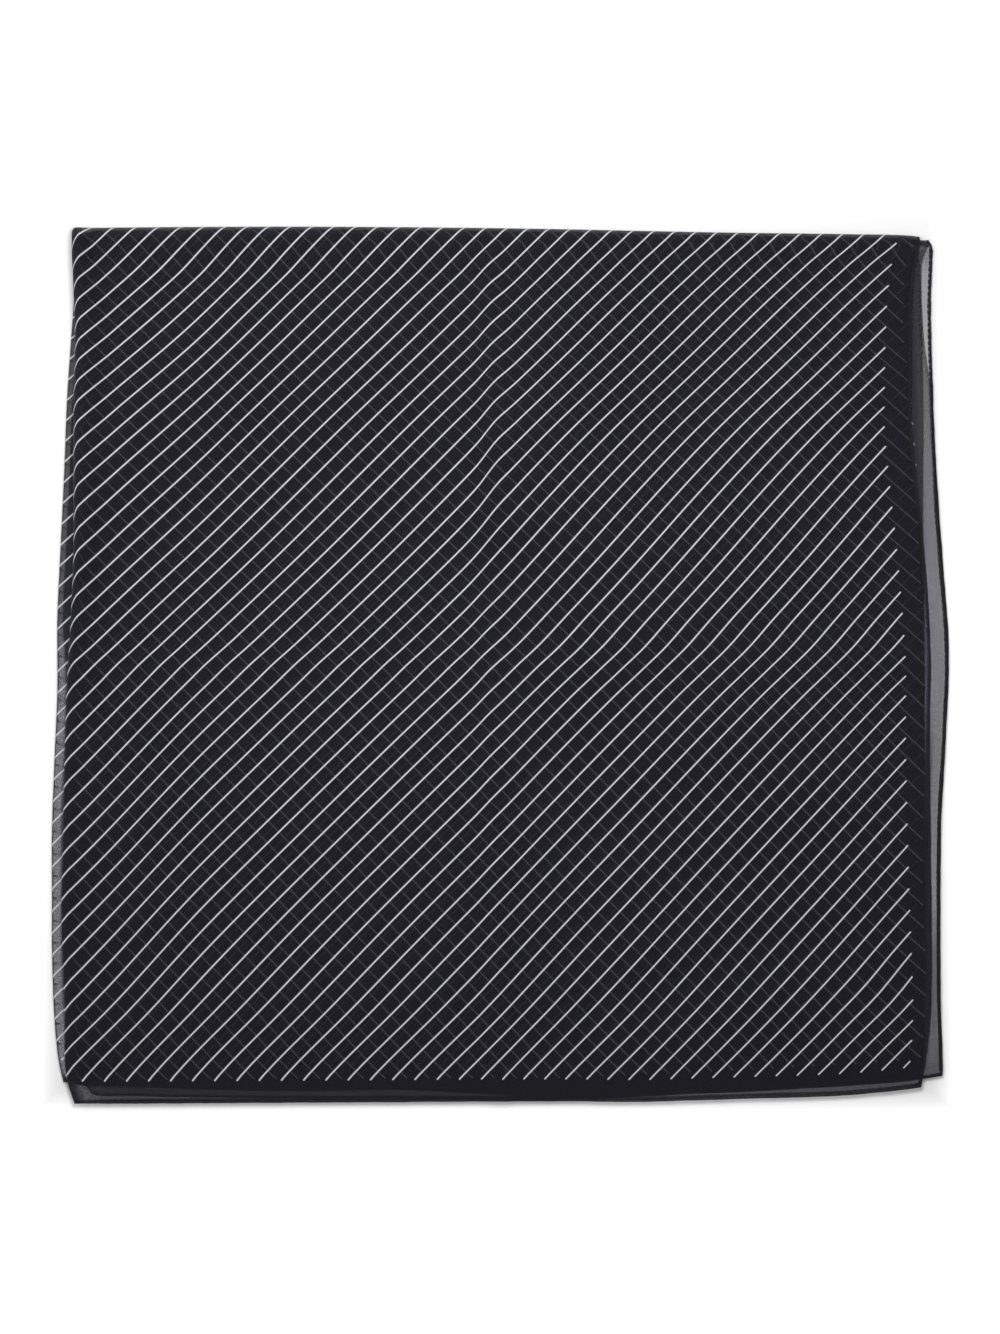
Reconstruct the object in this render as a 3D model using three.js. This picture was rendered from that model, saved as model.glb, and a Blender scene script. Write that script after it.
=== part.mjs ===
// A square sheer scarf with narrow stripes, folded in half to the left, then in half under its top edge, and laid flat.
// Millimetres. X runs from the left folds to the loose side hems, Y from the loose lower hems up to the top fold,
// and Z from the table up. The whole scarf is one sheet, so it is one closed body: the first layer is on top, the second
// is joined to it at the left fold, the third to the second inside the top fold, and the fourth lies on the table.
import * as THREE from "three";

// the sheet
const SHEET_THICKNESS = 1.0;
const LAYER_STEP = 1.5; // from the middle of one layer to the middle of the next where they lie close
const HALF_SHEET = SHEET_THICKNESS / 2;

// how far the soft rolls of the folds take to settle onto the layer below
const SIDE_ROLL_SETTLE = 5; // times the roll's radius
const TOP_ROLL_SETTLE = 24;

// the two creases left from when it was stored folded smaller
const CREASE_HALF_WIDTH = 9;
const DOWN_CREASE_HEIGHT = 0.7; // the one that runs from top to bottom
const CROSS_CREASE_HEIGHT = 0.5; // the one that runs from side to side
const CROSS_CREASE_Y = 0;
const CREASE_SHARE_BELOW = 0.4; // how much of a crease each layer under the first one has

// the left folds: where the upper and the lower pair of layers turn, and the radius of each turn
const LEFT_FOLDS = [
  { y: 214.0, upper: -222.3, lower: -222.3, upperRoll: 2.0, lowerRoll: 2.0 },
  { y: 196.0, upper: -221.6, lower: -221.8, upperRoll: 2.6, lowerRoll: 1.4 },
  { y: 168.9, upper: -220.9, lower: -223.6, upperRoll: 3.2, lowerRoll: 1.0 },
  { y: 137.7, upper: -221.6, lower: -225.7, upperRoll: 3.2, lowerRoll: 0.9 },
  { y: 101.3, upper: -221.7, lower: -227.1, upperRoll: 3.2, lowerRoll: 0.9 },
  { y: 59.7, upper: -221.7, lower: -229.1, upperRoll: 2.9, lowerRoll: 0.9 },
  { y: 23.3, upper: -223.2, lower: -230.7, upperRoll: 2.5, lowerRoll: 0.9 },
  { y: -13.1, upper: -225.4, lower: -230.7, upperRoll: 2.0, lowerRoll: 0.9 },
  { y: -49.5, upper: -226.5, lower: -232.2, upperRoll: 1.7, lowerRoll: 0.9 },
  { y: -85.9, upper: -227.4, lower: -233.5, upperRoll: 1.5, lowerRoll: 0.9 },
  { y: -122.3, upper: -228.2, lower: -233.5, upperRoll: 1.4, lowerRoll: 0.9 },
  { y: -148.3, upper: -227.8, lower: -233.5, upperRoll: 1.3, lowerRoll: 0.9 },
  { y: -179.5, upper: -226.5, lower: -232.5, upperRoll: 1.2, lowerRoll: 0.9 },
  { y: -202.9, upper: -226.6, lower: -230.5, upperRoll: 1.1, lowerRoll: 0.9 },
  { y: -215.9, upper: -225.3, lower: -227.9, upperRoll: 1.0, lowerRoll: 0.9 },
  { y: -228.4, upper: -221.3, lower: -224.0, upperRoll: 1.0, lowerRoll: 0.9 },
];

// the loose side hem of each layer
const SIDE_HEMS = [
  { y: 217.3, first: 217.9, second: 223.4, third: 223.4, fourth: 217.9 },
  { y: 208.4, first: 216.0, second: 219.8, third: 224.7, fourth: 219.0 },
  { y: 189.7, first: 214.2, second: 219.5, third: 224.2, fourth: 219.5 },
  { y: 166.3, first: 213.8, second: 220.1, third: 224.5, fourth: 220.2 },
  { y: 145.5, first: 213.8, second: 223.2, third: 225.2, fourth: 220.6 },
  { y: 122.1, first: 214.0, second: 225.0, third: 226.0, fourth: 220.8 },
  { y: 85.7, first: 217.7, second: 227.3, third: 228.1, fourth: 220.6 },
  { y: 54.5, first: 220.9, second: 228.6, third: 230.4, fourth: 220.6 },
  { y: 7.7, first: 223.7, second: 231.5, third: 233.6, fourth: 221.1 },
  { y: -39.1, first: 223.3, second: 231.0, third: 232.0, fourth: 221.1 },
  { y: -80.7, first: 223.7, second: 229.2, third: 229.7, fourth: 221.1 },
  { y: -132.7, first: 224.3, second: 228.8, third: 229.2, fourth: 221.1 },
  { y: -174.3, first: 224.2, second: 229.1, third: 229.4, fourth: 221.1 },
  { y: -200.3, first: 222.1, second: 229.9, third: 230.2, fourth: 221.1 },
  { y: -219.0, first: 219.0, second: 230.5, third: 230.7, fourth: 219.5 },
];

// the loose lower hem of each layer
const LOWER_HEMS = [
  { x: -228.7, first: -228.2, second: -228.2, third: -216.9, fourth: -216.9 },
  { x: -220.9, first: -228.2, second: -228.1, third: -218.5, fourth: -218.6 },
  { x: -215.2, first: -228.1, second: -227.7, third: -219.4, fourth: -219.8 },
  { x: -212.1, first: -228.1, second: -227.6, third: -219.5, fourth: -224.0 },
  { x: -192.3, first: -228.1, second: -227.3, third: -219.8, fourth: -224.7 },
  { x: -155.9, first: -227.9, second: -227.1, third: -221.1, fourth: -225.5 },
  { x: -103.9, first: -227.6, second: -226.8, third: -222.1, fourth: -225.9 },
  { x: -51.9, first: -227.3, second: -226.6, third: -221.4, fourth: -225.9 },
  { x: -10.3, first: -227.0, second: -226.4, third: -223.4, fourth: -226.0 },
  { x: 38.1, first: -226.9, second: -226.2, third: -225.5, fourth: -226.3 },
  { x: 72.9, first: -227.2, second: -224.7, third: -224.2, fourth: -226.6 },
  { x: 104.1, first: -226.3, second: -223.1, third: -222.7, fourth: -225.7 },
  { x: 135.3, first: -225.4, second: -221.8, third: -221.4, fourth: -224.7 },
  { x: 176.9, first: -224.0, second: -219.3, third: -219.0, fourth: -223.4 },
  { x: 208.1, first: -221.1, second: -217.1, third: -216.8, fourth: -220.6 },
  { x: 230.5, first: -217.7, second: -213.8, third: -213.6, fourth: -217.5 },
];

// the top fold: its outer edge, and the space that its roll leaves between the second and third layers
const TOP_FOLD = [
  { x: -221.4, edge: 227.5, space: 1.6 },
  { x: -170.0, edge: 227.8, space: 4.2 },
  { x: -93.5, edge: 227.8, space: 4.4 },
  { x: 10.5, edge: 226.8, space: 3.6 },
  { x: 114.5, edge: 224.7, space: 2.8 },
  { x: 217.5, edge: 222.6, space: 2.0 },
];

// the crease that runs from top to bottom
const DOWN_CREASE = [
  { y: 225, x: -7 },
  { y: 130, x: -3 },
  { y: 60, x: -8 },
  { y: -60, x: -4 },
  { y: -225, x: 2 },
];

// shares of the way from a fold to its hem at which the sheet has a line of corners
const ACROSS_SHARES = [
  0, 0.008, 0.018, 0.029, 0.036, 0.055, 0.1, 0.16, 0.23, 0.3, 0.37, 0.43, 0.462, 0.486, 0.51, 0.55, 0.62, 0.7, 0.78,
  0.86, 0.93, 1,
];
const DOWN_SHARES = [
  0, 0.012, 0.026, 0.04, 0.07, 0.12, 0.18, 0.25, 0.32, 0.39, 0.45, 0.472, 0.491, 0.51, 0.56, 0.63, 0.7, 0.77, 0.84,
  0.9, 0.95, 0.98, 1,
];
const STEPS_IN_A_FOLD = 8;

// the value of one column at a place between the rows, on a smooth curve through them
function readRows(rows, key, column, at) {
  const ascending = rows[0][key] < rows[rows.length - 1][key];
  const list = ascending ? rows : [...rows].reverse();
  const last = list.length - 1;
  const place = THREE.MathUtils.clamp(at, list[0][key], list[last][key]);
  let i = 0;
  while (i < last - 1 && place > list[i + 1][key]) {
    i += 1;
  }
  const slopeAt = (k) => {
    const before = list[Math.max(k - 1, 0)];
    const after = list[Math.min(k + 1, last)];
    return (after[column] - before[column]) / (after[key] - before[key]);
  };
  const span = list[i + 1][key] - list[i][key];
  const t = (place - list[i][key]) / span;
  const a = list[i][column];
  const b = list[i + 1][column];
  const startSlope = slopeAt(i) * span;
  const endSlope = slopeAt(i + 1) * span;
  const t2 = t * t;
  const t3 = t2 * t;
  return (
    a * (2 * t3 - 3 * t2 + 1) + startSlope * (t3 - 2 * t2 + t) + b * (3 * t2 - 2 * t3) + endSlope * (t3 - t2)
  );
}

// 1 at a fold, falling smoothly to 0 once the distance is used up
function settle(distance, reach) {
  const share = THREE.MathUtils.clamp(distance / reach, 0, 1);
  return (1 + Math.cos(Math.PI * share)) / 2;
}

function ridge(distance, height) {
  return height * Math.exp(-((distance / CREASE_HALF_WIDTH) ** 2));
}

// the steps between the middles of the four layers above one place on the table
function layerSteps(x, y) {
  const upperFold = readRows(LEFT_FOLDS, "y", "upper", y);
  const lowerFold = readRows(LEFT_FOLDS, "y", "lower", y);
  const upperRoll = readRows(LEFT_FOLDS, "y", "upperRoll", y);
  const lowerRoll = readRows(LEFT_FOLDS, "y", "lowerRoll", y);
  const topSpace = readRows(TOP_FOLD, "x", "space", x);
  const fromTop = readRows(TOP_FOLD, "x", "edge", x) - HALF_SHEET - topSpace / 2 - LAYER_STEP - y;
  const byUpperFold = settle(x - upperFold - HALF_SHEET - upperRoll, SIDE_ROLL_SETTLE * upperRoll);
  const byLowerFold = settle(x - lowerFold - HALF_SHEET - lowerRoll, SIDE_ROLL_SETTLE * lowerRoll);
  const byTop = settle(fromTop, TOP_ROLL_SETTLE);
  const downCrease = ridge(x - readRows(DOWN_CREASE, "y", "x", y), DOWN_CREASE_HEIGHT);
  const crossCrease = ridge(y - CROSS_CREASE_Y, CROSS_CREASE_HEIGHT);
  const crease = (downCrease + crossCrease) * (1 - byTop) * (1 - byUpperFold) * (1 - byLowerFold);
  return {
    upper: LAYER_STEP + (2 * upperRoll - LAYER_STEP) * byUpperFold + crease,
    middle: LAYER_STEP + (topSpace - LAYER_STEP) * byTop + crease * CREASE_SHARE_BELOW,
    lower: LAYER_STEP + (2 * lowerRoll - LAYER_STEP) * byLowerFold + crease * CREASE_SHARE_BELOW,
  };
}

// one line of corners across the sheet, from hem to fold to hem: turn is 0 before the fold and half a circle after it
function stations(shares) {
  const before = [...shares].reverse().map((share) => ({ share, turn: 0 }));
  const after = shares.map((share) => ({ share, turn: Math.PI }));
  const fold = [];
  for (let i = 1; i < STEPS_IN_A_FOLD; i += 1) {
    fold.push({ share: 0, turn: (Math.PI * i) / STEPS_IN_A_FOLD });
  }
  return [...before, ...fold, ...after];
}

// the share of the half before the fold: 1 on it, 0 past the fold, and between the two while the sheet turns
const shareBefore = (turn) => (1 + Math.cos(turn)) / 2;

function byLayer(rows, key, at, across, down) {
  const front = shareBefore(across.turn);
  const top = shareBefore(down.turn);
  const read = (column) => readRows(rows, key, column, at);
  const upperPair = front * read("first") + (1 - front) * read("second");
  const lowerPair = front * read("fourth") + (1 - front) * read("third");
  return top * upperPair + (1 - top) * lowerPair;
}

function byPair(y, down, upperColumn, lowerColumn) {
  const top = shareBefore(down.turn);
  const upper = readRows(LEFT_FOLDS, "y", upperColumn, y);
  const lower = readRows(LEFT_FOLDS, "y", lowerColumn, y);
  return top * upper + (1 - top) * lower;
}

// the line about which the sheet turns at the top
function topAxis(x) {
  const edge = readRows(TOP_FOLD, "x", "edge", x);
  const steps = layerSteps(x, edge);
  return edge - HALF_SHEET - steps.middle / 2 - steps.upper;
}

// the middle of the sheet's thickness at one corner
function sheetMiddle(across, down) {
  let x = 0;
  let y = 0;
  let roll = 0;
  for (let pass = 0; pass < 8; pass += 1) {
    roll = byPair(y, down, "upperRoll", "lowerRoll");
    const foldX = byPair(y, down, "upper", "lower") + HALF_SHEET + roll;
    const hemX = byLayer(SIDE_HEMS, "y", y, across, down);
    x = foldX + across.share * (hemX - foldX);
    const axis = topAxis(x);
    const hemY = byLayer(LOWER_HEMS, "x", x, across, down);
    y = axis + down.share * (hemY - axis);
  }
  const steps = layerSteps(x, y);
  const top = shareBefore(down.turn);
  const pairStep = top * steps.upper + (1 - top) * steps.lower;
  const fromPairMiddle = (pairStep / 2) * Math.cos(across.turn);
  const fromAxis = steps.middle / 2 + pairStep / 2 + fromPairMiddle;
  const axisZ = HALF_SHEET + steps.lower + steps.middle / 2;
  return new THREE.Vector3(
    x - roll * Math.sin(across.turn),
    y + fromAxis * Math.sin(down.turn),
    axisZ + fromAxis * Math.cos(down.turn)
  );
}

function foldedSheet() {
  const acrossStations = stations(ACROSS_SHARES);
  const downStations = stations(DOWN_SHARES);
  const columns = acrossStations.length;
  const rows = downStations.length;
  const corner = (row, column) => row * columns + column;

  const middle = [];
  for (const down of downStations) {
    for (const across of acrossStations) {
      middle.push(sheetMiddle(across, down));
    }
  }
  const faces = [];
  for (let row = 0; row < rows - 1; row += 1) {
    for (let column = 0; column < columns - 1; column += 1) {
      const a = corner(row, column);
      const b = corner(row, column + 1);
      const c = corner(row + 1, column + 1);
      const d = corner(row + 1, column);
      faces.push(a, d, b, b, d, c);
    }
  }
  const middleGeometry = new THREE.BufferGeometry().setFromPoints(middle);
  middleGeometry.setIndex(faces);
  middleGeometry.computeVertexNormals();
  const normals = middleGeometry.getAttribute("normal");

  // both faces of the sheet, half its thickness either side of its middle
  const points = [];
  for (const side of [HALF_SHEET, -HALF_SHEET]) {
    middle.forEach((point, i) => {
      const outward = new THREE.Vector3().fromBufferAttribute(normals, i);
      points.push(point.clone().addScaledVector(outward, side));
    });
  }
  const back = middle.length;
  const index = [...faces];
  for (let i = 0; i < faces.length; i += 3) {
    index.push(faces[i] + back, faces[i + 2] + back, faces[i + 1] + back);
  }
  // the cut edge along the four hems
  const edge = [];
  for (let column = 0; column < columns - 1; column += 1) {
    edge.push([corner(0, column + 1), corner(0, column)]);
    edge.push([corner(rows - 1, column), corner(rows - 1, column + 1)]);
  }
  for (let row = 0; row < rows - 1; row += 1) {
    edge.push([corner(row, 0), corner(row + 1, 0)]);
    edge.push([corner(row + 1, columns - 1), corner(row, columns - 1)]);
  }
  for (const [from, to] of edge) {
    index.push(from, from + back, to, to, from + back, to + back);
  }
  const geometry = new THREE.BufferGeometry().setFromPoints(points);
  geometry.setIndex(index);
  return geometry;
}

const chiffon = new THREE.MeshStandardMaterial({ color: 0x1b1b20, roughness: 0.85, metalness: 0 });

// the origin is on the table, below the middle of the folded scarf
const geometry = foldedSheet();
geometry.computeBoundingBox();
const centre = geometry.boundingBox.getCenter(new THREE.Vector3());
geometry.translate(-centre.x, -centre.y, -geometry.boundingBox.min.z);
geometry.computeVertexNormals();

const scarf = new THREE.Mesh(geometry, chiffon);
scarf.name = "scarf";

const group = new THREE.Group();
group.add(scarf);

export default group;
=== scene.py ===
# A square sheer scarf with narrow stripes, folded in four and laid flat, seen from straight above.
# Sizes and places are in millimetres, but in metres where a material reads them and for the light and the
# camera. Every mesh is set down in metres, in the frame of the solids.
import math

import bpy
import numpy as np
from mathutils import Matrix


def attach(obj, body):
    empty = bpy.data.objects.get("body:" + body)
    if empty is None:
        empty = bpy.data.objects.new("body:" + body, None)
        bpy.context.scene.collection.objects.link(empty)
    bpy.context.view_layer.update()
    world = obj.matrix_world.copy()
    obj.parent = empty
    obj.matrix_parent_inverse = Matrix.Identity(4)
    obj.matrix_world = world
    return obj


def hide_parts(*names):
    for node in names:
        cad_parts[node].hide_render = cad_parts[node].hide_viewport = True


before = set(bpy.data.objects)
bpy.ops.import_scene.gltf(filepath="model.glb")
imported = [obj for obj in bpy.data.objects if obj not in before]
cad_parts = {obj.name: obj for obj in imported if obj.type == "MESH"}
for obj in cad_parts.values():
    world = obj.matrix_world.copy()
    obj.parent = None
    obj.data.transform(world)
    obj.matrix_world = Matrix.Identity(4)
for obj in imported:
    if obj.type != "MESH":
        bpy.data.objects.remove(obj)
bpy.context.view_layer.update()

MM = 0.001


# The cloth.
# One square of sheer black chiffon with narrow off-white stripes on its face. It is folded in half to the
# left and then in half under its top edge, so four layers lie one on the other: the first face up with its
# stripes rising to the right, the second face down, the third face up and the fourth face down on the table.

CLOTH_SIDE = 900.0
HALF_SIDE = CLOTH_SIDE / 2
CLOTH_THICKNESS = 0.2
REST_HEIGHT = 0.5  # of the lowest layer, which its rolled hem keeps off the table
LAYER_STEP = 1.5  # from one layer to the next, away from the folds

SIDE_ROLL_SETTLE = 5.0  # a side roll flattens out over this many of its radii
TOP_ROLL_SETTLE = 24.0  # and the top roll over this length
TOP_ROLL_SHEAR = 12.0  # how far from the top fold the side rolls still lengthen the cloth's way
LOWER_LEFT_X = -190.0  # left of it the lower hems turn up, which the cloth follows in its last stretch
LOWER_LEFT_STRETCH = 90.0

# the left folds: y, outer edge of the upper and of the lower pair, radius of each roll
LEFT_FOLDS = np.array([
    (214.0, -222.3, -222.3, 2.0, 2.0),
    (196.0, -221.6, -221.8, 2.6, 1.4),
    (168.9, -220.9, -223.6, 3.2, 1.0),
    (137.7, -221.6, -225.7, 3.2, 0.9),
    (101.3, -221.7, -227.1, 3.2, 0.9),
    (59.7, -221.7, -229.1, 2.9, 0.9),
    (23.3, -223.2, -230.7, 2.5, 0.9),
    (-13.1, -225.4, -230.7, 2.0, 0.9),
    (-49.5, -226.5, -232.2, 1.7, 0.9),
    (-85.9, -227.4, -233.5, 1.5, 0.9),
    (-122.3, -228.2, -233.5, 1.4, 0.9),
    (-148.3, -227.8, -233.5, 1.3, 0.9),
    (-179.5, -226.5, -232.5, 1.2, 0.9),
    (-202.9, -226.6, -230.5, 1.1, 0.9),
    (-215.9, -225.3, -227.9, 1.0, 0.9),
    (-228.4, -221.3, -224.0, 1.0, 0.9),
])
# the loose side hems: y, then the first to the fourth layer
SIDE_HEMS = np.array([
    (220.9, 218.4, 222.4, 222.6, 218.4),
    (219.4, 218.2, 223.4, 224.4, 218.2),
    (217.5, 218.0, 222.6, 225.0, 218.0),
    (214.5, 217.4, 221.2, 225.1, 217.6),
    (208.4, 216.0, 219.6, 224.9, 219.0),
    (189.7, 214.2, 219.5, 224.2, 219.5),
    (166.3, 213.8, 221.0, 224.5, 220.2),
    (145.5, 213.8, 224.0, 225.2, 220.6),
    (122.1, 214.0, 225.0, 226.0, 220.8),
    (85.7, 217.7, 227.3, 228.1, 220.6),
    (54.5, 220.9, 229.6, 230.4, 220.6),
    (7.7, 223.7, 233.0, 233.6, 221.1),
    (-39.1, 223.3, 231.6, 232.0, 221.1),
    (-80.7, 223.7, 229.2, 229.7, 221.1),
    (-132.7, 224.3, 228.8, 229.2, 221.1),
    (-174.3, 224.2, 229.1, 229.4, 221.1),
    (-200.3, 222.1, 229.9, 230.2, 221.1),
    (-219.0, 219.0, 230.5, 230.7, 219.5),
])
# the loose lower hems: x, then the first to the fourth layer
LOWER_HEMS = np.array([
    (-228.7, -228.2, -228.2, -216.9, -216.9),
    (-220.9, -228.2, -228.1, -218.5, -218.6),
    (-215.2, -228.1, -227.7, -219.4, -219.8),
    (-212.1, -228.1, -227.6, -219.5, -224.0),
    (-192.3, -228.1, -227.3, -219.8, -224.7),
    (-155.9, -227.9, -227.1, -221.1, -225.5),
    (-103.9, -227.6, -226.8, -222.1, -225.9),
    (-51.9, -227.3, -226.6, -221.4, -225.9),
    (-10.3, -227.0, -226.4, -223.4, -226.0),
    (38.1, -226.9, -226.2, -225.5, -226.3),
    (72.9, -227.2, -224.7, -224.2, -226.6),
    (104.1, -226.3, -223.1, -222.7, -225.7),
    (135.3, -225.4, -221.8, -221.4, -224.7),
    (176.9, -224.0, -219.3, -219.0, -223.4),
    (208.1, -221.1, -217.1, -216.8, -220.6),
    (230.5, -217.7, -213.8, -213.6, -217.5),
])
# the top fold: x, its outer edge, and the space that its roll leaves between the second and third layers
TOP_FOLD = np.array([
    (-221.4, 227.5, 1.6),
    (-170.0, 227.8, 4.2),
    (-93.5, 228.0, 4.4),
    (10.5, 227.1, 3.6),
    (114.5, 225.1, 2.8),
    (185.0, 224.2, 2.3),
    (213.0, 223.6, 2.0),
    (219.0, 222.6, 1.7),
])

# the two creases left from when it was stored folded smaller; the one that runs down: y, x
DOWN_CREASE = np.array([(225.0, -7.0), (130.0, -3.0), (60.0, -8.0), (-60.0, -4.0), (-225.0, 2.0)])
CROSS_CREASE_Y = 0.0
CREASE_HALF_WIDTH = 7.0
DOWN_CREASE_HEIGHT = 0.7
CROSS_CREASE_HEIGHT = 0.5
CREASE_SHARE_BELOW = 0.4


def read_rows(rows, column, at):
    """One column of a table at the places `at`, on a smooth curve through its rows."""
    rows = rows[np.argsort(rows[:, 0])]
    places, values = rows[:, 0], rows[:, column]
    last = len(places) - 1
    before = np.maximum(np.arange(last + 1) - 1, 0)
    after = np.minimum(np.arange(last + 1) + 1, last)
    slopes = (values[after] - values[before]) / (places[after] - places[before])
    at = np.clip(at, places[0], places[-1])
    i = np.clip(np.searchsorted(places, at, side="right") - 1, 0, last - 1)
    span = places[i + 1] - places[i]
    t = (at - places[i]) / span
    return (
        values[i] * (2 * t**3 - 3 * t**2 + 1)
        + slopes[i] * span * (t**3 - 2 * t**2 + t)
        + values[i + 1] * (3 * t**2 - 2 * t**3)
        + slopes[i + 1] * span * (t**3 - t**2)
    )


def settle(distance, reach):
    """1 at no distance, falling softly to 0 at the reach and beyond."""
    return (1 + np.cos(np.pi * np.clip(distance / reach, 0, 1))) / 2


def ridge(distance, height):
    """The soft ridge of a crease."""
    return height * np.exp(-((distance / CREASE_HALF_WIDTH) ** 2))


def layer_steps(x, y, side_rolls=1.0):
    """The upper, middle and lower steps between the four layers above one place on the table."""
    upper_roll = read_rows(LEFT_FOLDS, 3, y)
    lower_roll = read_rows(LEFT_FOLDS, 4, y)
    top_space = read_rows(TOP_FOLD, 2, x)
    from_top = read_rows(TOP_FOLD, 1, x) - top_space / 2 - LAYER_STEP - y
    from_upper = x - read_rows(LEFT_FOLDS, 1, y) - upper_roll
    from_lower = x - read_rows(LEFT_FOLDS, 2, y) - lower_roll
    by_upper = side_rolls * settle(from_upper, SIDE_ROLL_SETTLE * upper_roll)
    by_lower = side_rolls * settle(from_lower, SIDE_ROLL_SETTLE * lower_roll)
    by_top = settle(from_top, TOP_ROLL_SETTLE)
    down_crease = ridge(x - read_rows(DOWN_CREASE, 1, y), DOWN_CREASE_HEIGHT)
    crease = down_crease + ridge(y - CROSS_CREASE_Y, CROSS_CREASE_HEIGHT)
    crease = crease * (1 - by_top) * (1 - by_upper) * (1 - by_lower)
    return (
        LAYER_STEP + (2 * upper_roll - LAYER_STEP) * by_upper + crease,
        LAYER_STEP + (top_space - LAYER_STEP) * by_top + crease * CREASE_SHARE_BELOW,
        LAYER_STEP + (2 * lower_roll - LAYER_STEP) * by_lower + crease * CREASE_SHARE_BELOW,
    )


FIRST_LOOP = 3.0  # a first guess at the radius of the turn over the top
FOLD_ROUNDS = 12


def fold(u, v):
    """Where a place on the flat cloth lies once it is folded.

    u is above 0 on the first and fourth layers and 0 on the left folds. v is below 0 on the first and second
    layers and 0 on the top fold. The bends depend on the place that they lead to, so it is found in rounds.
    """
    x, y = np.abs(u) - HALF_SIDE / 2, HALF_SIDE / 2 - np.abs(v)
    loop = np.full_like(u, FIRST_LOOP)
    for _ in range(FOLD_ROUNDS):
        down_turn = np.clip(np.pi / 2 + v / loop, 0, np.pi)
        top = (1 + np.cos(down_turn)) / 2
        roll = top * read_rows(LEFT_FOLDS, 3, y) + (1 - top) * read_rows(LEFT_FOLDS, 4, y)
        turn = np.clip(np.pi / 2 - u / roll, 0, np.pi)
        front = (1 + np.cos(turn)) / 2
        edge_x = top * read_rows(LEFT_FOLDS, 1, y) + (1 - top) * read_rows(LEFT_FOLDS, 2, y)
        fold_x = edge_x + CLOTH_THICKNESS / 2 + roll
        hem_x, hem_y, hem_y_beside = (
            top * (front * read_rows(rows, 1, at) + (1 - front) * read_rows(rows, 2, at))
            + (1 - top) * (front * read_rows(rows, 4, at) + (1 - front) * read_rows(rows, 3, at))
            for rows, at in ((SIDE_HEMS, y), (LOWER_HEMS, x), (LOWER_HEMS, np.maximum(x, LOWER_LEFT_X)))
        )
        near_hem = settle(HALF_SIDE - np.abs(v), LOWER_LEFT_STRETCH)
        hem_y = hem_y_beside + (hem_y - hem_y_beside) * near_hem
        arc = np.pi / 2 * roll
        x = fold_x + np.clip((np.abs(u) - arc) / (HALF_SIDE - arc), 0, 1) * (hem_x - fold_x)
        top_edge = read_rows(TOP_FOLD, 1, x)
        # the side rolls lengthen the cloth's way over the top fold, which no longer shows away from it
        lengthwise = []
        for side_rolls in (0.0, 1.0):
            upper, middle, _lower = layer_steps(x, top_edge, side_rolls)
            axis_y = top_edge - CLOTH_THICKNESS / 2 - middle / 2 - upper
            upper, middle, lower = layer_steps(x, y, side_rolls)
            pair = top * upper + (1 - top) * lower
            loop = middle / 2 + pair / 2 + pair / 2 * np.cos(turn)
            arc = np.pi / 2 * loop
            down_share = np.clip((np.abs(v) - arc) / (HALF_SIDE - arc), 0, 1)
            lengthwise.append(axis_y + down_share * (hem_y - axis_y))
        by_top = settle(np.abs(v) - arc, TOP_ROLL_SHEAR)
        y = lengthwise[0] + (lengthwise[1] - lengthwise[0]) * by_top
    return np.stack((
        x - roll * np.sin(turn),
        y + loop * np.sin(down_turn),
        REST_HEIGHT + lower + middle / 2 + loop * np.cos(down_turn),
    ), axis=-1)


# the mesh's lines lie close in the folds and creases and wide between them: distance from the fold, spacing
SPACING = np.array([
    (0, 0.4), (4, 0.45), (13, 1.1), (22, 3.5), (190, 5.6),
    (210, 1.9), (240, 1.9), (262, 5.6), (435, 5.6), (450, 3.0),
])
STEPS_EACH_WAY = 110
FINE_STEPS = 4500
fine = np.linspace(0, HALF_SIDE, FINE_STEPS + 1)
density = np.cumsum(1 / np.interp(fine, SPACING[:, 0], SPACING[:, 1]))
half_lines = np.interp(np.linspace(density[0], density[-1], STEPS_EACH_WAY + 1), density, fine)
lines = np.concatenate((-half_lines[:0:-1], half_lines))


def new_grid(name, across, up, side):
    """A flat square grid, to be shaped."""
    bpy.ops.object.select_all(action="DESELECT")
    bpy.ops.mesh.primitive_grid_add(x_subdivisions=across, y_subdivisions=up, size=side, location=(0, 0, 0))
    grid = bpy.context.object
    grid.name = grid.data.name = name
    return grid


def flat_places(grid):
    """Where the points of a new grid lie, across and up."""
    places = np.empty(len(grid.data.vertices) * 3)
    grid.data.vertices.foreach_get("co", places)
    return places.reshape(-1, 3)[:, :2]


def move_points(grid, places):
    """Put the grid's points at their places, given in millimetres."""
    grid.data.vertices.foreach_set("co", (places * MM).ravel())
    grid.data.update()


def set_map(grid, name, places):
    """The piece's own map, from one place for each point."""
    point_of = np.empty(len(grid.data.loops), dtype=np.int32)
    grid.data.loops.foreach_get("vertex_index", point_of)
    own_map = grid.data.uv_layers[0]
    own_map.name = name
    own_map.uv.foreach_set("vector", places[point_of].ravel())


def paint(grid, name, values):
    """A value on each point, for the material to read."""
    grid.data.attributes.new(name, "FLOAT", "POINT").data.foreach_set("value", values)


cloth = new_grid("scarf_cloth", 2 * STEPS_EACH_WAY, 2 * STEPS_EACH_WAY, CLOTH_SIDE * MM)
steps_in = (flat_places(cloth) / MM / CLOTH_SIDE + 0.5) * 2 * STEPS_EACH_WAY
flat = np.interp(steps_in, np.arange(len(lines)), lines)
set_map(cloth, "flat_cloth", flat / CLOTH_SIDE + 0.5)
flat_u, flat_v = flat[:, 0], flat[:, 1]
folded = fold(flat_u, flat_v)
table_x, table_y = folded[:, 0], folded[:, 1]
move_points(cloth, folded)
bpy.ops.object.shade_smooth()


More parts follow.
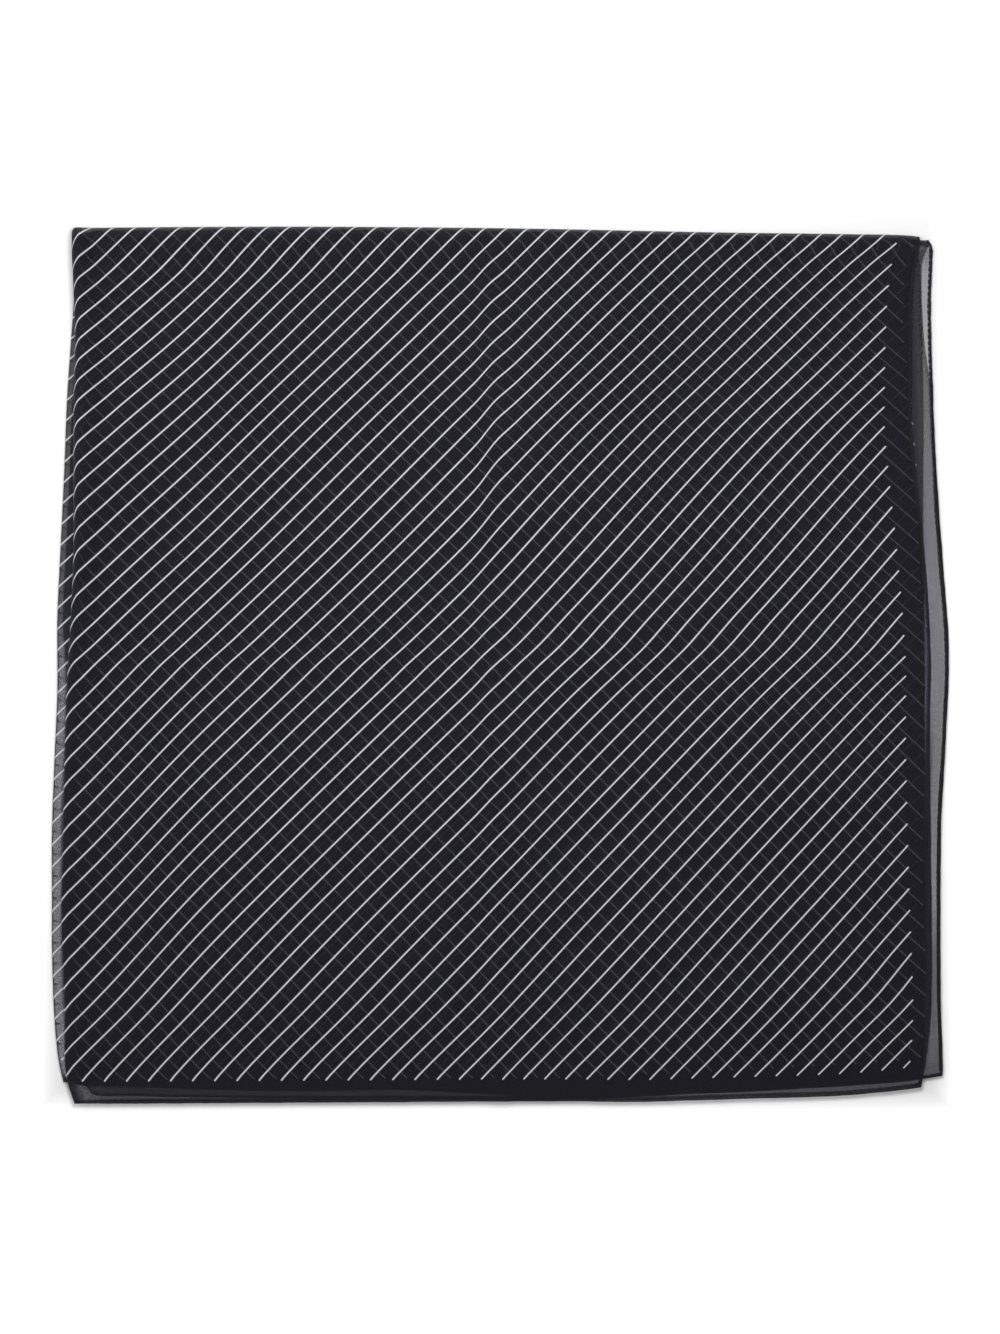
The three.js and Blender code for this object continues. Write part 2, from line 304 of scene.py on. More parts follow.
class Wire:
    """A value, colour or vector in a shader, with the plain sums written as sums."""

    def __init__(self, tree, socket):
        self.tree = tree
        self.socket = socket

    def node(self, kind, settings=None, **sockets):
        """A new node: its settings first, then its sockets by name, or by number as i0 and i1."""
        made = self.tree.nodes.new(kind)
        for name, value in (settings or {}).items():
            setattr(made, name, value)
        for name, value in sockets.items():
            numbered = name[0] == "i" and name[1:].isdigit()
            key = int(name[1:]) if numbered else name.replace("_", " ")
            if isinstance(value, Wire):
                self.tree.links.new(value.socket, made.inputs[key])
            else:
                made.inputs[key].default_value = value
        return made

    def get(self, kind, output=0, settings=None, **sockets):
        """One output of a new node."""
        return Wire(self.tree, self.node(kind, settings, **sockets).outputs[output])

    def math(self, operation, *values):
        inputs = {f"i{place}": value for place, value in enumerate(values)}
        return self.get("ShaderNodeMath", 0, {"operation": operation}, **inputs)

    def __add__(self, other):
        return self.math("ADD", self, other)

    __radd__ = __add__

    def __mul__(self, other):
        return self.math("MULTIPLY", self, other)

    __rmul__ = __mul__

    def __sub__(self, other):
        return self.math("SUBTRACT", self, other)

    def __rsub__(self, other):
        return self.math("SUBTRACT", other, self)

    def __truediv__(self, other):
        return self.math("DIVIDE", self, other)

    def step(self, low, high):
        """0 below low, 1 above high, soft between."""
        return self.get(
            "ShaderNodeMapRange", 0, {"interpolation_type": "SMOOTHSTEP"},
            Value=self, From_Min=low, From_Max=high, To_Min=0.0, To_Max=1.0,
        )

    def mix(self, first, second):
        """Between two values or colours, with self as the share of the second."""

        def is_colour(side):
            return side.socket.type == "RGBA" if isinstance(side, Wire) else isinstance(side, tuple)

        if is_colour(first) or is_colour(second):
            return self.get("ShaderNodeMix", 2, {"data_type": "RGBA"}, i0=self, i6=first, i7=second)
        return self.get("ShaderNodeMix", 0, {"data_type": "FLOAT"}, i0=self, i2=first, i3=second)

    def parts(self):
        """The three parts of a vector."""
        split = self.node("ShaderNodeSeparateXYZ", Vector=self)
        return [Wire(self.tree, socket) for socket in split.outputs]

    def painted(self, name):
        """What paint() left on the piece's points."""
        return self.get("ShaderNodeAttribute", 2, {"attribute_name": name})

    def surface(self, **sockets):
        """The finished surface, joined to the material."""
        shader = self.node("ShaderNodeBsdfPrincipled", None, **sockets)
        output = self.node("ShaderNodeOutputMaterial")
        self.tree.links.new(shader.outputs[0], output.inputs[0])


def new_look(name):
    """An empty material, and the wire that its shader starts from."""
    look = bpy.data.materials.new(name)
    look.use_nodes = True
    look.node_tree.nodes.clear()
    return look, Wire(look.node_tree, None)


STRIPE_PITCH = 11.2  # along a side
STRIPE_WIDTH = 0.80
STRIPE_SOFT = 0.16
PLAIN_BORDER = 11.6
THREAD_COLOUR = (0.0108, 0.0107, 0.0162, 1)
THREAD_COVER = 0.434  # the share of light that each face of the cloth stops
STRIPE_COLOUR = (0.465, 0.465, 0.495, 1)
VEILED_STRIPE_PAINTED_LIGHTER = (0.68, 0.68, 0.72, 1)  # painted light: on the second layer, lighter than on the first, for the light that the first layer holds off it
STRIPE_COVER = 0.93
CREPE_PER_MM = 1.7
CREPE_UNEVEN = 0.015
CRUMPLE_UNEVEN = 0.60
CREPE_BUMP = 0.12
CREPE_DEPTH = 0.2
RIPPLES_ALONG_U = 0.15  # for each millimetre
RIPPLES_ALONG_V = 0.9
RIPPLE_UNEVEN = 0.04


def chiffon(name, striped):
    """The sheer crepe weave, with the stripes on its face only."""
    look, wire = new_look(name)
    u_share, v_share, _up = wire.get("ShaderNodeUVMap", 0, {"uv_map": "flat_cloth"}).parts()
    u = (u_share - 0.5) * CLOTH_SIDE
    v = (v_share - 0.5) * CLOTH_SIDE
    flat_place = wire.get("ShaderNodeCombineXYZ", 0, None, X=u, Y=v)

    # the weave is closed up unevenly, in fine specks and in long ripples
    crepe = wire.get("ShaderNodeTexNoise", 0, None, Vector=flat_place, Scale=CREPE_PER_MM, Detail=0.0)
    ripple_place = wire.get("ShaderNodeCombineXYZ", 0, None, X=u * RIPPLES_ALONG_U, Y=v * RIPPLES_ALONG_V)
    ripple = wire.get("ShaderNodeTexNoise", 0, None, Vector=ripple_place, Scale=1.0, Detail=0.0)
    crepe_uneven = CREPE_UNEVEN + wire.painted("crumple") * CRUMPLE_UNEVEN
    cover = wire.painted("close") + (crepe - 0.5) * crepe_uneven + (ripple - 0.5) * RIPPLE_UNEVEN
    colour = THREAD_COLOUR
    if striped:
        count = (u - v) / STRIPE_PITCH + wire.painted("slid")
        off_line = (count - wire.math("ROUND", count)) * (STRIPE_PITCH / math.sqrt(2))
        # how far past the stripe's end a place lies: the end is round
        foot_u = wire.math("ABSOLUTE", u - off_line / math.sqrt(2))
        foot_v = wire.math("ABSOLUTE", v + off_line / math.sqrt(2))
        past_u = wire.math("MAXIMUM", foot_u - (HALF_SIDE - wire.painted("border")), 0.0)
        past_v = wire.math("MAXIMUM", foot_v - (HALF_SIDE - PLAIN_BORDER), 0.0)
        past = wire.math("MAXIMUM", past_u, past_v) * math.sqrt(2)
        away = wire.math("SQRT", off_line * off_line + past * past)
        bare = away.step(STRIPE_WIDTH / 2 - STRIPE_SOFT, STRIPE_WIDTH / 2 + STRIPE_SOFT)
        stripe = wire.painted("fresh") * (1 - bare)
        cover = stripe.mix(cover, STRIPE_COVER)
        # painted light: the second layer's stripes take the lighter colour
        stripe_colour = wire.painted("veiled_painted_light").mix(STRIPE_COLOUR, VEILED_STRIPE_PAINTED_LIGHTER)
        colour = stripe.mix(THREAD_COLOUR, stripe_colour)
    depth = CREPE_DEPTH * MM
    bump = wire.get("ShaderNodeBump", 0, None, Strength=CREPE_BUMP, Distance=depth, Height=crepe)
    wire.surface(
        Base_Color=colour, Alpha=cover, Roughness=0.8, Specular_IOR_Level=0.1, Normal=bump,
        Sheen_Weight=0.12, Sheen_Roughness=0.5,
    )
    return look


cloth.data.materials.append(chiffon("chiffon_face", True))
cloth.data.materials.append(chiffon("chiffon_reverse", False))

CREASE_X = -12.0  # of the crease that runs down, as the stripes of the first layer show it


def slid_first(x, y):
    """How far the stripes of the first layer have slid out of line, in stripe pitches."""
    # they bow half way down
    at_ends = 0.27
    bow = 0.59
    bow_middle = -10.0
    bow_length = 450.0
    slid = at_ends + bow * np.cos(np.pi * (y - bow_middle) / bow_length)

    # more towards the left fold, most of all in its lower part
    at_left = 0.50
    at_lower_left = 0.33
    lower_from = 15.0
    lower_fade = 190.0
    left_share = np.maximum(CREASE_X - x, 0) / (HALF_SIDE / 2 + CREASE_X)
    slid += left_share * (at_left + at_lower_left * settle(np.maximum(y - lower_from, 0), lower_fade))

    # to and fro beside the left fold
    to_and_fro = 0.42
    wave_middle = 24.0
    wave_length = 500.0
    wave_x = -222.0
    wave_reach = 75.0
    wave = np.sin(2 * np.pi * (y - wave_middle) / wave_length)
    slid += to_and_fro * wave * settle(x - wave_x, wave_reach)

    # more towards the side hem, most of all half way down
    at_right = 0.14
    right_bow = 0.24
    right_from = 200.0
    right_middle = -40.0
    right_length = 520.0
    right_share = np.clip(x / right_from, 0, 1)
    slid += right_share * (at_right + right_bow * np.cos(np.pi * (y - right_middle) / right_length))

    # a jump at the crease that runs down
    jump = 0.22
    jump_width = 14.0
    jump_middle = 92.0
    jump_reach = 80.0
    past_crease = 1 - settle(np.maximum(x - CREASE_X, 0), jump_width)
    slid += jump * past_crease * settle(np.abs(y - jump_middle), jump_reach)

    # a dip in the crease that runs across, to the right of the other
    dip = -0.13
    dip_from = 40.0
    dip_middle = 5.0
    dip_reach = 22.0
    slid += dip * np.clip(x / dip_from, 0, 1) * settle(np.abs(y - dip_middle), dip_reach)

    # and back by the lower right corner
    back = -0.17
    corner_y = -176.0
    corner_height = 28.0
    corner_x = 205.0
    corner_width = 34.0
    return slid + back * settle(np.abs(y - corner_y), corner_height) * settle(corner_x - x, corner_width)


def slid_second(x, y):
    """The same of the second layer, which bows too, and lags behind near its side hem."""
    at_ends = 0.60
    bow = 0.66
    half_way = 200.0
    lean = 0.23
    lag = -0.50
    hem_x = 203.0
    lag_reach = 110.0
    slid = at_ends + bow * (1 - (y / half_way) ** 2) * (1 - lean * y / half_way)
    return slid + lag * settle(hem_x - x, lag_reach)


def slid_third(y):
    """The same of the third layer."""
    in_middle = -0.25
    more_at_ends = 0.55
    half_way = 200.0
    return more_at_ends * (y / half_way) ** 2 + in_middle


def slid_fourth(y):
    """The same of the fourth layer."""
    low_down = -0.80
    more_at_top = 0.80
    rise_from = 20.0
    rise_length = 170.0
    return more_at_top * (np.maximum(y - rise_from, 0) / rise_length) ** 2 + low_down


FOLD_BLEND = 10.0  # how far past its fold the cloth takes on the slide of its next layer
TOP_BLEND = 15.0
under_upper = 1 - settle(np.maximum(-flat_u, 0), FOLD_BLEND)
under_lower = 1 - settle(np.maximum(flat_u, 0), FOLD_BLEND)
lower_pair = 1 - settle(np.maximum(flat_v, 0), TOP_BLEND)
slid_upper = slid_first(table_x, table_y) * (1 - under_upper) + slid_second(table_x, table_y) * under_upper
slid_lower = slid_third(table_y) * (1 - under_lower) + slid_fourth(table_y) * under_lower

# round the upper fold itself the stripes turn down, less so in its lower half
TURN_DOWN = 0.25
LESS_LOW_DOWN = 0.17
LOW_DOWN_Y = -60.0
LOW_DOWN_FADE = 90.0
TURN_REACH = 5.0
turn_down = TURN_DOWN - LESS_LOW_DOWN * settle(table_y - LOW_DOWN_Y, LOW_DOWN_FADE)
slid_upper -= turn_down * settle(np.abs(flat_u), TURN_REACH)

# how wide the plain border is beside the side hem: rows by y, of the first and the second layer
SIDE_BORDERS = np.array([
    (218.0, 12.6, 8.5), (164.0, 14.1, 10.9), (103.0, 14.7, 9.6), (48.0, 14.3, 11.5), (-17.0, 12.8, 11.5),
    (-60.0, 12.3, 9.1), (-122.0, 11.4, 8.8), (-169.0, 9.9, 7.4), (-205.0, 8.2, 10.5),
])
first_border = read_rows(SIDE_BORDERS, 1, table_y)
second_border = read_rows(SIDE_BORDERS, 2, table_y)
border = np.where(flat_u > 0, first_border, second_border)

# the cloth stops more light where the upper fold turns under: partly the weave seen edge-on round the fold,
# partly painted shade along the fold's edge
FOLD_COVER_WITH_SHADE = 0.78
FOLD_SHADE_REACH = 8.0
fold_tight_and_shaded = settle(np.abs(flat_u), FOLD_SHADE_REACH) * (1 - lower_pair)

# it is crumpled along the lower fold, less so low down, and at two corners
FOLD_CRUMPLE_REACH = 30.0
CRUMPLE_LOW_DOWN = 0.35
LOW_CRUMPLE_Y = 15.0
LOW_CRUMPLE_FADE = 25.0
UPPER_RIGHT_CORNER = (219.0, 216.0)
LOWER_LEFT_CORNER = (-218.0, -221.0)
CORNER_REACH = 12.0
higher_up = 1 - settle(np.maximum(LOW_CRUMPLE_Y - table_y, 0), LOW_CRUMPLE_FADE)
along_fold = CRUMPLE_LOW_DOWN + (1 - CRUMPLE_LOW_DOWN) * higher_up
from_upper_right = np.hypot(table_x - UPPER_RIGHT_CORNER[0], table_y - UPPER_RIGHT_CORNER[1])
from_lower_left = np.hypot((table_x - LOWER_LEFT_CORNER[0]) / 2, table_y - LOWER_LEFT_CORNER[1])
crumple = settle(np.abs(flat_u), FOLD_CRUMPLE_REACH) * lower_pair * along_fold
crumple = np.maximum(crumple, settle(from_upper_right, CORNER_REACH))
crumple = np.maximum(crumple, settle(from_lower_left, CORNER_REACH))

# the stripes of the lowest layer are rubbed thin beside the lower fold
RUBBED = 0.75
RUBBED_FROM = 1.0
RUBBED_FADE_IN = 3.0
RUBBED_TO = 14.0
RUBBED_FADE_OUT = 14.0
past_fold = 1 - settle(np.maximum(flat_u - RUBBED_FROM, 0), RUBBED_FADE_IN)
near_fold = settle(np.maximum(flat_u - RUBBED_TO, 0), RUBBED_FADE_OUT)

paint(cloth, "fresh", 1 - RUBBED * lower_pair * past_fold * near_fold)
# painted light: this marks the second layer, whose stripes are painted lighter
paint(cloth, "veiled_painted_light", under_upper * (1 - lower_pair))
paint(cloth, "slid", slid_upper * (1 - lower_pair) + slid_lower * lower_pair)
paint(cloth, "border", border * (1 - lower_pair) + PLAIN_BORDER * lower_pair)
# partly painted shade: the cover rises round the upper fold
paint(cloth, "close", THREAD_COVER + (FOLD_COVER_WITH_SHADE - THREAD_COVER) * fold_tight_and_shaded)
paint(cloth, "crumple", crumple)

thick = cloth.modifiers.new("thickness", "SOLIDIFY")
thick.thickness = CLOTH_THICKNESS * MM
thick.offset = 0.0
thick.material_offset = 1
thick.material_offset_rim = 1
bpy.ops.object.modifier_apply(modifier=thick.name)

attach(cloth, "root")
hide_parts("scarf")


# The rolled hem.
# The four sides of the same cloth, rolled narrow by hand and slip stitched: a soft, slightly flat cord of
# cloth about 2 mm wide that runs right round the square.

HEM_WIDTH = 1.9
HEM_THICKNESS = 0.9
HEM_IN = 0.35  # how far its middle lies inside the cloth's edge, in widths
CLOTH_BESIDE = 1.5  # how far in from the hem the cloth is read, to lay the hem level with it
MERGE_WITHIN = 0.001  # the ends of the hem meet, and so do the long sides of its grid
HEM_STEPS_A_SIDE = 360
HEM_STEPS = 4 * HEM_STEPS_A_SIDE
HEM_SIDES = 10
EVEN_SHARE = 0.15  # of the spacing of the steps, which otherwise lie closer towards the fold
CLOSER_POWER = 1.8
LONG_SWELL = 0.10
SHORT_SWELL = 0.05
LONG_SWELL_RATES = (0.61, 0.117)  # radians a step
SHORT_SWELL_RATE = 1.7
PRESSED_AT_TURN = 0.45
TURN_LENGTH = 7.0
WIDTH_ALONG_BOTTOM = 0.8
ALMOST = 0.999  # of the way to the edge

hem = new_grid("rolled_hem", HEM_STEPS, HEM_SIDES, 2.0)
start = (flat_places(hem) + 1) / 2
step_of = np.rint(start[:, 0] * HEM_STEPS).astype(int)
side_of = np.rint(start[:, 1] * HEM_SIDES).astype(int) % HEM_SIDES
along = np.linspace(-1, 1, HEM_STEPS_A_SIDE + 1)[:-1]
along = np.sign(along) * (EVEN_SHARE * np.abs(along) + (1 - EVEN_SHARE) * np.abs(along) ** CLOSER_POWER)
one = np.ones_like(along)
side_u = np.concatenate((along, one, -along, -one))
side_v = np.concatenate((-one, along, one, -along))
reach = HALF_SIDE - HEM_WIDTH * HEM_IN
edge = fold(side_u * reach, side_v * reach)
beside = fold(side_u * (reach - CLOTH_BESIDE), side_v * (reach - CLOTH_BESIDE))
ahead = np.roll(edge, -1, axis=0) - np.roll(edge, 1, axis=0)
across = edge - beside
ahead /= np.linalg.norm(ahead, axis=1, keepdims=True)
across -= ahead * np.sum(across * ahead, axis=1, keepdims=True)
across /= np.linalg.norm(across, axis=1, keepdims=True)
upright = np.cross(ahead, across)

# hand rolling leaves it uneven, and it is pressed narrow along the bottom and where it turns through a fold
walk = np.arange(HEM_STEPS)
long_swell = LONG_SWELL * np.sin(walk * LONG_SWELL_RATES[0]) * np.sin(walk * LONG_SWELL_RATES[1])
swell = 1 + long_swell + SHORT_SWELL * np.sin(walk * SHORT_SWELL_RATE)
on_side_hem = np.abs(side_u) > ALMOST
turning = settle(np.where(on_side_hem, np.abs(side_v), np.abs(side_u)) * HALF_SIDE, TURN_LENGTH)
swell *= (1 - PRESSED_AT_TURN * turning) * np.where(on_side_hem, 1.0, WIDTH_ALONG_BOTTOM)
around = np.linspace(0, 2 * np.pi, HEM_SIDES, endpoint=False)
ring = (
    edge[:, None]
    + across[:, None] * (np.cos(around)[None, :] * (HEM_WIDTH / 2) * swell[:, None])[..., None]
    + upright[:, None] * (np.sin(around)[None, :] * (HEM_THICKNESS / 2) * swell[:, None])[..., None]
)
move_points(hem, ring[step_of % HEM_STEPS, side_of])

# the side hems are rolled sheer where the second and fourth layers end beside the single layer
SECOND_SHEER_Y = 105.0  # the second layer's is sheer above it
FOURTH_SHEER_Y = 60.0  # and the fourth layer's above this
SHEER_FADE = 20.0
SIDE_HEM_COVER = 0.86
SHEER_LOSS = 0.70
UPPER_HEM_COVER = 0.72  # along the bottom, of the first and second layers
LOWER_HEM_COVER = 0.60  # and of the third and fourth
FOLD_LOSS = 0.3
FOLD_LOSS_REACH = 25.0
on_second = (side_u < -ALMOST) & (side_v < 0)
on_fourth = (side_u > ALMOST) & (side_v > 0)
sheer = np.where(on_second, settle(np.maximum(SECOND_SHEER_Y - edge[:, 1], 0), SHEER_FADE), 0.0)
sheer = np.where(on_fourth, settle(np.maximum(FOURTH_SHEER_Y - edge[:, 1], 0), SHEER_FADE), sheer)
bottom_cover = np.where(side_v < 0, UPPER_HEM_COVER, LOWER_HEM_COVER)
bottom_cover = bottom_cover - FOLD_LOSS * settle(np.abs(side_u) * HALF_SIDE, FOLD_LOSS_REACH)
hem_cover = np.where(on_side_hem, SIDE_HEM_COVER - SHEER_LOSS * sheer, bottom_cover)
paint(hem, "close", hem_cover[step_of % HEM_STEPS])

# its own map: along the hem and round it
sides_before = np.repeat(np.arange(4), HEM_STEPS_A_SIDE)
along_hem = np.concatenate((along, along, along, along)) / 2 + 0.5 + sides_before
along_map = np.append(along_hem, 4.0)[step_of] / 4
set_map(hem, "along_and_round", np.stack((along_map, start[:, 1]), axis=-1))
bpy.ops.object.mode_set(mode="EDIT")
bpy.ops.mesh.select_all(action="SELECT")
bpy.ops.mesh.remove_doubles(threshold=MERGE_WITHIN * MM)
bpy.ops.mesh.normals_make_consistent(inside=False)
bpy.ops.object.mode_set(mode="OBJECT")
bpy.ops.object.shade_smooth()

STITCH_PITCH = 3.3
STITCH_CUT = 0.75
STITCH_ENDS = (-0.4, 0.8)  # of the wave along the hem, from gap to stitch
INNER_SIDE_ENDS = (0.08, 0.30)  # from the middle of the inner side, in turns
HEM_GRAIN_PER_M = 900.0
HEM_DARK = (0.006, 0.006, 0.008, 1)
HEM_LIGHT = (0.014, 0.014, 0.018, 1)
HEM_BUMP = 0.4
HEM_GRAIN_DEPTH = 0.2


def rolled_chiffon():
    """The same weave rolled up, darker, with the slip stitches along its inner side."""
    look, wire = new_look("rolled_chiffon")
    place = wire.get("ShaderNodeTexCoord", 3)
    grain = wire.get("ShaderNodeTexNoise", 0, None, Vector=place, Scale=HEM_GRAIN_PER_M, Detail=2.0)
    # the stitches draw the inner side of the roll in, every few threads
    along_share, round_share, _up = wire.get("ShaderNodeUVMap", 0, {"uv_map": "along_and_round"}).parts()
    stitch = wire.math("SINE", along_share * (2 * math.pi * 4 * CLOTH_SIDE / STITCH_PITCH))
    inner_side = 1 - wire.math("ABSOLUTE", round_share - 0.5).step(*INNER_SIDE_ENDS)
    drawn_in = inner_side * stitch.step(*STITCH_ENDS) * STITCH_CUT
    depth = HEM_GRAIN_DEPTH * MM
    bump = wire.get("ShaderNodeBump", 0, None, Strength=HEM_BUMP, Distance=depth, Height=grain)
    wire.surface(
        Base_Color=grain.mix(HEM_DARK, HEM_LIGHT), Alpha=wire.painted("close") * (1 - drawn_in),
        Roughness=0.75, Specular_IOR_Level=0.15, Normal=bump,
    )
    return look


hem.data.materials.append(rolled_chiffon())

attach(hem, "root")
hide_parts("scarf")


# The table.
# A plain white table, bright enough to be white in the picture, with a soft shade close round the cloth. The
# shade lies a little to the left and up.

TABLE_SIDE = 6000.0
TABLE_DROP = 0.1  # below the cloth's resting place, so that the lit edge lies above it
SHADE_TO_LEFT = 0.003  # in metres, as the material reads its places
SHADE_UP = 0.006
SHADE_ENDS = (0.224, 0.247)  # from the middle, in metres too
LIT_ENDS = (0.226, 0.249)
SHADE_GREY = (0.72, 0.72, 0.72, 1)
TABLE_WHITE = (0.92, 0.92, 0.92, 1)
BLACK = (0, 0, 0, 1)
LIT_GREY = (0.25, 0.25, 0.25, 1)


def white_table():
    """White all over but for the soft shade, and lit a little from within, so that it stays white."""
    look, wire = new_look("white_table")
    x, y, _up = wire.get("ShaderNodeTexCoord", 3).parts()
    off_x = wire.math("ABSOLUTE", x + SHADE_TO_LEFT)
    off_y = wire.math("ABSOLUTE", y - SHADE_UP)
    off_middle = wire.math("MAXIMUM", off_x, off_y)
    wire.surface(
        Base_Color=off_middle.step(*SHADE_ENDS).mix(SHADE_GREY, TABLE_WHITE),
        Roughness=0.9, Specular_IOR_Level=0.0,
        Emission_Color=off_middle.step(*LIT_ENDS).mix(BLACK, LIT_GREY), Emission_Strength=1.0,
    )
    return look


bpy.ops.object.select_all(action="DESELECT")
bpy.ops.mesh.primitive_plane_add(size=TABLE_SIDE * MM, location=(0, 0, -TABLE_DROP * MM))
floor = bpy.context.object
floor.name = "floor"
floor.data.materials.append(white_table())


# The lit edge of the table.
# The table is lit from below too, and its light comes up through the cloth where fewer than four layers lie.
# So a thin frame of lit table lies just below the cloth, from its outline in to where all the layers lie. It
# belongs to the picture and not to the scarf.

GLOW_STEPS = 60
GLOW_INSET = 0.6
GLOW_DROP = 0.02
UNDER_TOP_ROLL = 4.0  # how far below the top edge the light ends
# how strong the light is: place along the side, at the outline, further in, and the outer light's reach
GLOW_LEFT = np.array([
    (-225, 0.9, 0.2, 4.5), (-205, 1.5, 0.2, 4.8), (-30, 1.6, 0.12, 4.5),
    (5, 1.4, 0.15, 3.5), (20, 0.8, 0.12, 2.2), (220, 0.65, 0.12, 2.2),
])
GLOW_RIGHT = np.array([
    (-215, 0.95, 0.8, 8), (-198, 0.95, 0.4, 7), (-174, 0.98, 0.1, 5.5), (-148, 1.0, 0.1, 5.5),
    (-122, 2.0, 0.1, 5.5), (-96, 1.7, 0.1, 5.5), (-50, 1.6, 0.3, 6.5), (-20, 1.75, 1.75, 8),
    (40, 1.8, 1.8, 8), (90, 1.62, 0.7, 8), (200, 0.95, 0.5, 8), (220, 0.85, 0.6, 8),
])
GLOW_LOWER = np.array([
    (-225, 0.6, 0.35, 8), (-190, 0.38, 0.3, 8), (40, 0.45, 0.35, 8),
    (120, 0.58, 0.45, 8), (225, 0.52, 0.45, 8),
])
GLOW_TOP = np.array([(-220, 0.45, 0.1, 3), (220, 0.45, 0.1, 3)])
GLOW_AT_OUTLINE = (0.98, 0.965, 1.03, 1)
GLOW_INSIDE = (0.91, 0.88, 1.18, 1)
GLOW_FADE = (0.6, 1.15)  # of the reach, from the outer light to the inner

PILE_SIDE = 440.0  # a first guess, from which the places are found
LOWER_PAIR_END_Y = -216.0  # the lower pair ends higher up than the upper one
FIRST_HEM_X = 216.5  # past the hems of the first and fourth layers only the second and third reach on
TOP_CORNER_X = 214.0  # past it the top fold drops to the corner
TOP_CORNER_WIDTH = 3
TOP_CORNER_DROP = 4.5
SPREAD_ROUNDS = 6


def bounds_beside(x, y, pick_low, pick_high):
    """The left, right, lower and upper bounds beside a place, from the layers that the two picks choose."""
    left = pick_low(read_rows(LEFT_FOLDS, 1, y), read_rows(LEFT_FOLDS, 2, y))
    left = np.where(y < LOWER_PAIR_END_Y, read_rows(LEFT_FOLDS, 1, y), left)
    right = pick_high.reduce([read_rows(SIDE_HEMS, layer, y) for layer in (1, 2, 3, 4)])
    low = pick_low.reduce([read_rows(LOWER_HEMS, layer, x) for layer in (1, 2, 3, 4)])
    low = np.where(x > FIRST_HEM_X, read_rows(LOWER_HEMS, 2, x), low)
    past_corner = np.clip((x - TOP_CORNER_X) / TOP_CORNER_WIDTH, 0, 1)
    high = read_rows(TOP_FOLD, 1, x) - TOP_CORNER_DROP * past_corner
    return left, right, low, high


def spread(shares, pick_low, pick_high, inset, below_top):
    """Places at shares of the way between the bounds, found in rounds as the bounds depend on the place."""
    x, y = (shares * PILE_SIDE - PILE_SIDE / 2).T
    for _ in range(SPREAD_ROUNDS):
        left, right, low, high = bounds_beside(x, y, pick_low, pick_high)
        x = left + inset + shares[:, 0] * (right - left - 2 * inset)
        y = low + inset + shares[:, 1] * (high - below_top - low - 2 * inset)
    return np.stack((x, y), axis=-1)


def lit_table():
    """The light from below, strong at the outline and weaker and bluer further in."""
    look, wire = new_look("lit_table")
    outline, inside, reach, distance = (
        wire.painted(name) for name in ("lit_outline", "lit_inside", "lit_reach", "lit_distance")
    )
    further_in = (distance / reach).step(*GLOW_FADE)
    strength = further_in.mix(outline, inside)
    tint = further_in.mix(GLOW_AT_OUTLINE, GLOW_INSIDE)
    glowing = wire.get("ShaderNodeVectorMath", 0, {"operation": "SCALE"}, i0=tint, Scale=strength)
    wire.surface(Base_Color=BLACK, Specular_IOR_Level=0.0, Emission_Color=glowing, Emission_Strength=1.0)
    return look


# the outermost line of the grid follows the outline of the pile, the next one where all four layers lie
glow = new_grid("lit_table_edge", GLOW_STEPS, GLOW_STEPS, 2.0)
spots = flat_places(glow)
rim = (np.abs(spots) > ALMOST).any(axis=1)
outline = spread((spots + 1) / 2, np.minimum, np.maximum, GLOW_INSET, 0.0)
pile_shares = (np.clip(spots / (1 - 2.0 / GLOW_STEPS), -1, 1) + 1) / 2
pile = spread(pile_shares, np.maximum, np.minimum, 0.0, UNDER_TOP_ROLL)
glow_place = np.where(rim[:, None], outline, pile)
move_points(glow, np.column_stack((glow_place, np.full(len(glow_place), -GLOW_DROP))))

at_left, at_low = (pile_shares < 1 - ALMOST).T
at_right, at_top = (pile_shares > ALMOST).T
on_side = np.stack((at_left, at_right, at_low, at_top), axis=-1)
sides = ((GLOW_LEFT, 1), (GLOW_RIGHT, 1), (GLOW_LOWER, 0), (GLOW_TOP, 0))
for name, column in (("lit_outline", 1), ("lit_inside", 2), ("lit_reach", 3)):
    by_side = np.stack([
        np.interp(glow_place[:, way], rows[:, 0], rows[:, column]) for rows, way in sides
    ], axis=-1)
    paint(glow, name, np.sum(by_side * on_side, axis=-1) / np.maximum(on_side.sum(axis=-1), 1))
left, right, low, high = bounds_beside(pile[:, 0], pile[:, 1], np.minimum, np.maximum)
outline_beside = np.stack((
    np.where(at_left, left + GLOW_INSET, np.where(at_right, right - GLOW_INSET, pile[:, 0])),
    np.where(at_left | at_right, pile[:, 1], np.where(at_low, low + GLOW_INSET, high - GLOW_INSET)),
), axis=-1)
paint(glow, "lit_distance", np.where(rim, 0.0, np.linalg.norm(glow_place - outline_beside, axis=-1)))

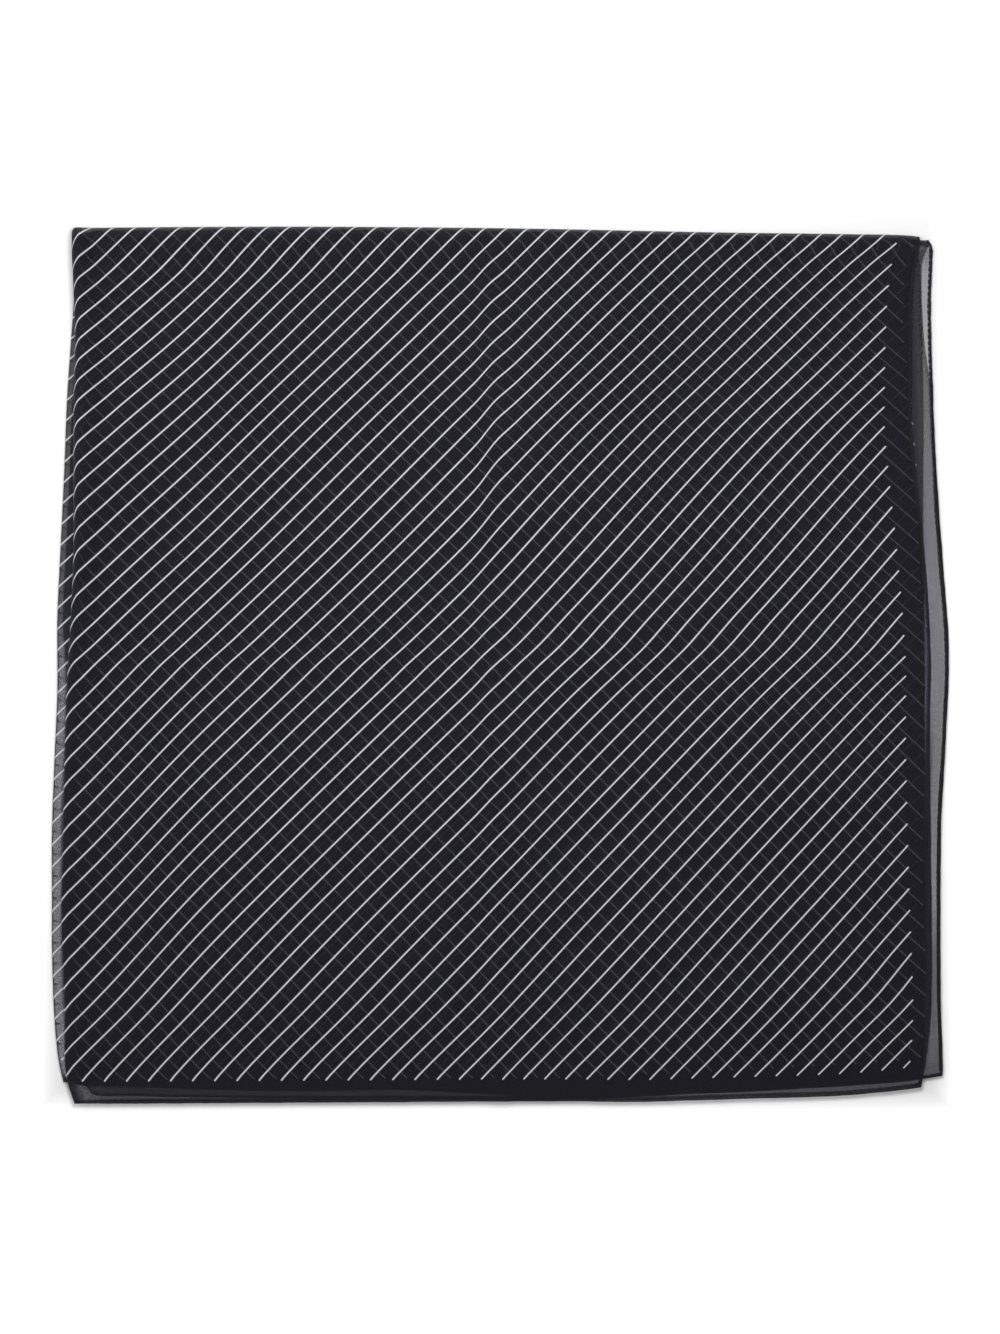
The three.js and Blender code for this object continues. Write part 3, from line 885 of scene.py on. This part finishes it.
# the faces inside the frame are taken out
bpy.ops.object.mode_set(mode="EDIT")
bpy.ops.mesh.select_all(action="DESELECT")
bpy.ops.object.mode_set(mode="OBJECT")
middle_faces = np.array([not any(rim[point] for point in face.vertices) for face in glow.data.polygons])
glow.data.polygons.foreach_set("select", middle_faces)
bpy.ops.object.mode_set(mode="EDIT")
bpy.ops.mesh.delete(type="FACE")
bpy.ops.object.mode_set(mode="OBJECT")
glow.data.materials.append(lit_table())


# The light and the camera.
# Soft light from above and from a window at the upper left, in a white room. The camera looks straight down.

ROOM_LIGHT = 0.52
scene = bpy.context.scene
world = bpy.data.worlds.new("room")
scene.world = world
world.use_nodes = True
world.node_tree.nodes["Background"].inputs["Color"].default_value = (1, 1, 1, 1)
world.node_tree.nodes["Background"].inputs["Strength"].default_value = ROOM_LIGHT


def soft_light(name, place, aim, side, power):
    """A square of light, turned to shine at its aim."""
    bpy.ops.object.light_add(type="AREA", location=place)
    light = bpy.context.object
    light.name = name
    light.data.shape = "SQUARE"
    light.data.size = side
    light.data.energy = power
    way = np.subtract(aim, place)
    tilt = math.acos(-way[2] / np.linalg.norm(way))
    light.rotation_euler = (tilt, 0, math.atan2(way[1], way[0]) - math.pi / 2)


soft_light("overhead", place=(0.0, 0.17, 0.75), aim=(0, 0.15, 0), side=0.3, power=5.2)
soft_light("window", place=(-0.75, 0.70, 0.45), aim=(-0.1, 0.1, 0), side=0.4, power=3.6)

LENS = 90.0
SENSOR = 36.0
FRAME_HEIGHT = 0.6937  # of the picture, on the cloth
FRAME_MIDDLE_Y = -0.0011
CLOTH_MIDDLE_Z = 0.005
FARTHEST_SEEN = 20.0
camera_height = CLOTH_MIDDLE_Z + FRAME_HEIGHT * LENS / SENSOR
bpy.ops.object.camera_add(location=(0, FRAME_MIDDLE_Y, camera_height), rotation=(0, 0, 0))
camera = bpy.context.object
camera.data.lens = LENS
camera.data.sensor_width = SENSOR
camera.data.clip_end = FARTHEST_SEEN
scene.camera = camera
scene.view_settings.view_transform = "Standard"
scene.cycles.transparent_max_bounces = 40
